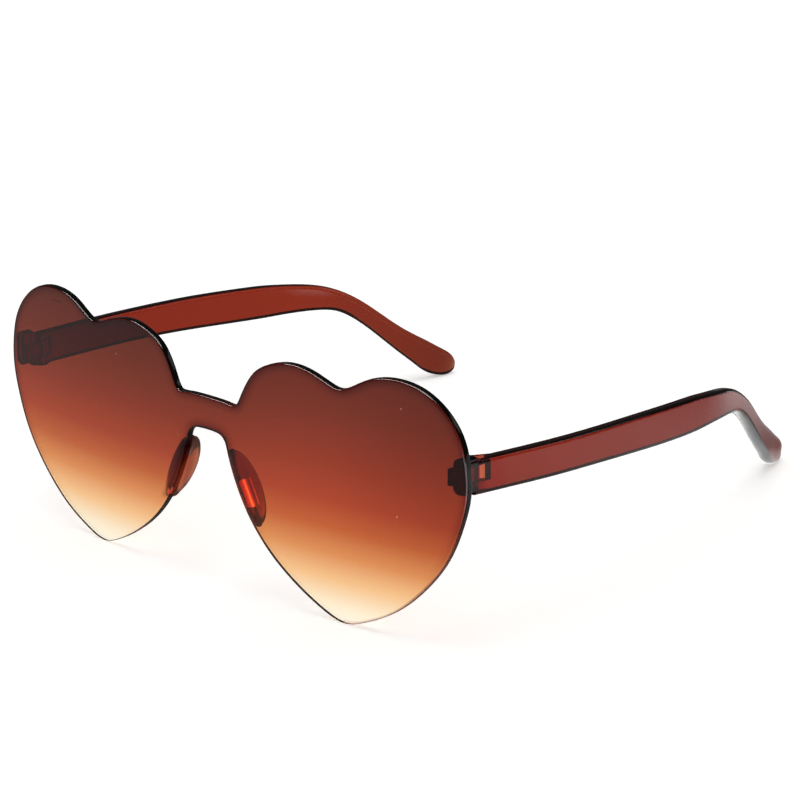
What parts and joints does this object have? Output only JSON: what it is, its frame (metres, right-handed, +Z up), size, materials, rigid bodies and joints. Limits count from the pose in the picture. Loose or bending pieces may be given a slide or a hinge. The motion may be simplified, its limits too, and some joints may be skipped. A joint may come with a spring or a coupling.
{
  "type": "heart shaped sunglasses",
  "caption": "Rimless sunglasses with heart-shaped lenses cut from one tinted sheet, moulded nose pads and folding temples on screwed hinges.",
  "frame": {"origin": "on the surface the open glasses stand on, midway between the temples and midway from front to back", "axes": "+X towards the wearer's left, +Y back towards the ears, +Z up"},
  "size_m": [0.1458, 0.1356, 0.0572],
  "materials": {
    "lens": "clear tint, brown at the top fading to pale amber at the tips",
    "pad": "glossy see-through brown",
    "temple": "glossy see-through red-brown",
    "screw": "plain steel"
  },
  "bodies": {
    "front": {"front_lens": "lens", "nose_pad_left": "pad", "nose_pad_right": "pad", "hinge_block_left": "temple", "hinge_block_right": "temple"},
    "left_arm": {"temple_left": "temple", "hinge_screw_left": "screw"},
    "right_arm": {"temple_right": "temple", "hinge_screw_right": "screw"}
  },
  "joints": [
    {"name": "left_temple_fold", "type": "hinge", "parent": "front", "child": "left_arm", "pos_m": [0.06775, -0.05541, 0.03865], "axis": [0, 0.0511, 0.9987], "range_deg": [0, 84]},
    {"name": "right_temple_fold", "type": "hinge", "parent": "front", "child": "right_arm", "pos_m": [-0.06775, -0.05541, 0.03865], "axis": [0, -0.0511, -0.9987], "range_deg": [0, 78]}
  ]
}
